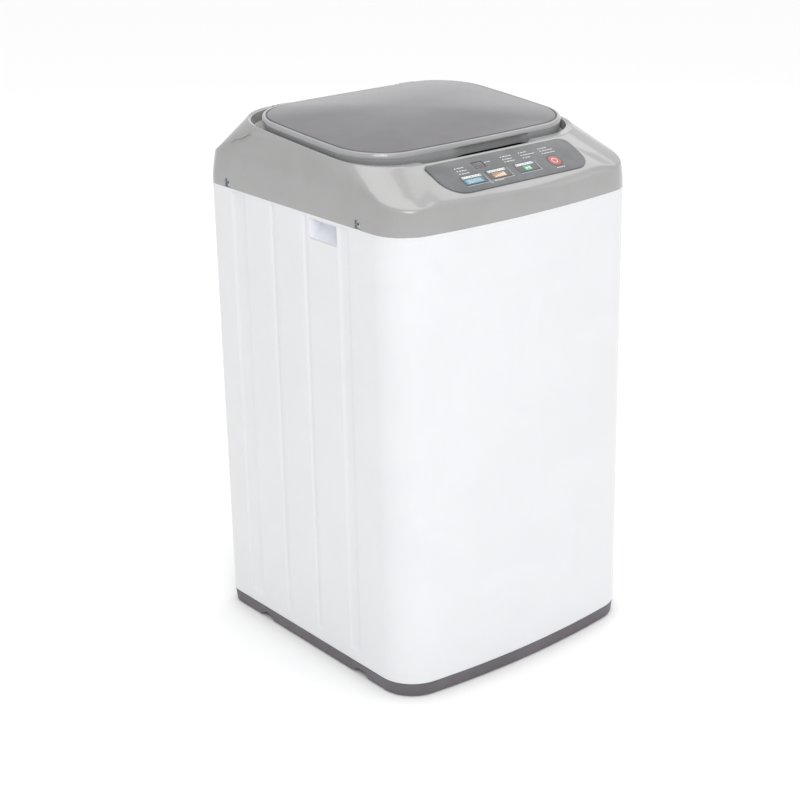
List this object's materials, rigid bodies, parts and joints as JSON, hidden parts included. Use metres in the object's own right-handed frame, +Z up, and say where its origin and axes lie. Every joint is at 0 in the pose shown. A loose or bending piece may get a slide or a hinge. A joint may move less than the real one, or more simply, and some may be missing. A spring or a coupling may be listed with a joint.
{
  "type": "top load washing machine",
  "caption": "Compact top-load washing machine with a hinged smoked lid, sloped key panel, suspended tub, spin basket and belt drive.",
  "frame": {"origin": "on the floor under the middle of the machine", "axes": "+Z up, the front with the key panel faces -Y, +X to the right of someone facing the front"},
  "size_m": [0.4444, 0.4636, 0.7937],
  "materials": {
    "base_plastic": "satin moulded",
    "rubber": "matte",
    "white_enamel": "gloss enamel",
    "white_plastic": "semi gloss",
    "grey_gloss": "gloss moulded",
    "overlay": "satin film",
    "smoked_window": "polished smoke",
    "key_plastic": "satin film",
    "zinc_steel": "zinc plated",
    "black_plastic": "matte moulded",
    "natural_plastic": "matte moulded",
    "stainless": "bright rolled",
    "cast_aluminium": "as cast"
  },
  "bodies": {
    "root": {"base_frame": "base_plastic", "foot_rear_left": "rubber", "foot_rear_right": "rubber", "foot_front_right": "rubber", "cabinet_shell": "white_enamel", "rear_panel": "white_enamel", "grip_left": "white_plastic", "grip_right": "white_plastic", "top_frame": "grey_gloss", "control_overlay": "overlay", "display_window": "smoked_window", "control_board": "natural_plastic", "hinge_pin_left": "zinc_steel", "hinge_pin_right": "zinc_steel", "lid_switch": "black_plastic", "inlet_valve": "natural_plastic", "inlet_spout": "natural_plastic", "pressure_sensor": "natural_plastic", "drain_hose": "black_plastic", "drain_outlet": "black_plastic", "cord_gland": "black_plastic", "rod_front_left": "zinc_steel", "rod_front_right": "zinc_steel", "rod_rear_right": "zinc_steel", "rod_rear_left": "zinc_steel", "spring_front_left": "zinc_steel", "spring_front_right": "zinc_steel", "spring_rear_right": "zinc_steel", "spring_rear_left": "zinc_steel"},
    "lid": {"lid_frame": "grey_gloss", "lid_window": "smoked_window"},
    "tub": {"outer_tub": "natural_plastic", "tub_ring": "natural_plastic", "drive_plate": "zinc_steel", "gearbox_housing": "cast_aluminium", "upper_bearing": "zinc_steel", "lower_bearing": "zinc_steel", "shaft_seal": "rubber", "motor_body": "zinc_steel", "drain_valve": "natural_plastic", "drain_actuator": "black_plastic", "drive_belt": "rubber"},
    "basket": {"wash_basket": "stainless", "balance_ring": "natural_plastic", "basket_hub": "cast_aluminium", "spin_sleeve": "zinc_steel"},
    "filter": {"lint_filter": "natural_plastic"},
    "agitator": {"pulsator": "natural_plastic", "pulsator_cap": "natural_plastic", "drive_shaft": "zinc_steel", "large_pulley": "cast_aluminium"},
    "motor_rotor": {"motor_shaft": "zinc_steel", "motor_pulley": "cast_aluminium"},
    "plunger": {"drain_plunger": "rubber"},
    "program_button": {"program_key": "key_plastic"},
    "level_button": {"level_key": "key_plastic"},
    "start_button": {"start_key": "key_plastic"},
    "power_button": {"power_key": "key_plastic"},
    "foot": {"levelling_foot": "rubber"}
  },
  "joints": [
    {"name": "lid_hinge", "type": "hinge", "parent": "root", "child": "lid", "pos_m": [0, 0.177, 0.7835], "axis": [-1, 0, 0], "range_deg": [0, 95]},
    {"name": "tub_bounce", "type": "slide", "parent": "root", "child": "tub", "axis": [0, 0, 1], "range_m": [-0.02, 0.012], "stiffness_N_per_m": 8000, "springref_m": 0.0225, "deforming": ["spring_front_left", "spring_front_right", "spring_rear_right", "spring_rear_left"]},
    {"name": "basket_spin", "type": "hinge", "parent": "tub", "child": "basket", "pos_m": [0, 0, 0.4], "axis": [0, 0, 1], "continuous": true},
    {"name": "agitator_spin", "type": "hinge", "parent": "tub", "child": "agitator", "pos_m": [0, 0, 0.2], "axis": [0, 0, 1], "continuous": true},
    {"name": "motor_spin", "type": "hinge", "parent": "tub", "child": "motor_rotor", "pos_m": [0, 0.118, 0.05], "axis": [0, 0, 1], "continuous": true},
    {"name": "filter_tilt", "type": "hinge", "parent": "basket", "child": "filter", "pos_m": [0, 0.1651, 0.4], "axis": [1, 0, 0], "range_deg": [0, 25]},
    {"name": "drain_pull", "type": "slide", "parent": "tub", "child": "plunger", "axis": [1, 0, 0], "range_m": [0, 0.012], "stiffness_N_per_m": 400, "springref_m": -0.01},
    {"name": "program_press", "type": "slide", "parent": "root", "child": "program_button", "axis": [0, 0.4459, -0.8951], "range_m": [0, 0.0012], "stiffness_N_per_m": 600, "springref_m": -0.001},
    {"name": "level_press", "type": "slide", "parent": "root", "child": "level_button", "axis": [0, 0.4459, -0.8951], "range_m": [0, 0.0012], "stiffness_N_per_m": 600, "springref_m": -0.001},
    {"name": "start_press", "type": "slide", "parent": "root", "child": "start_button", "axis": [0, 0.4459, -0.8951], "range_m": [0, 0.0012], "stiffness_N_per_m": 600, "springref_m": -0.001},
    {"name": "power_press", "type": "slide", "parent": "root", "child": "power_button", "axis": [0, 0.4459, -0.8951], "range_m": [0, 0.0012], "stiffness_N_per_m": 600, "springref_m": -0.001},
    {"name": "foot_level", "type": "slide", "parent": "root", "child": "foot", "axis": [0, 0, 1], "range_m": [-0.01, 0]}
  ],
  "couplings": [
    {"joint": "motor_spin", "follows": "agitator_spin", "ratio": 3.5814}
  ]
}
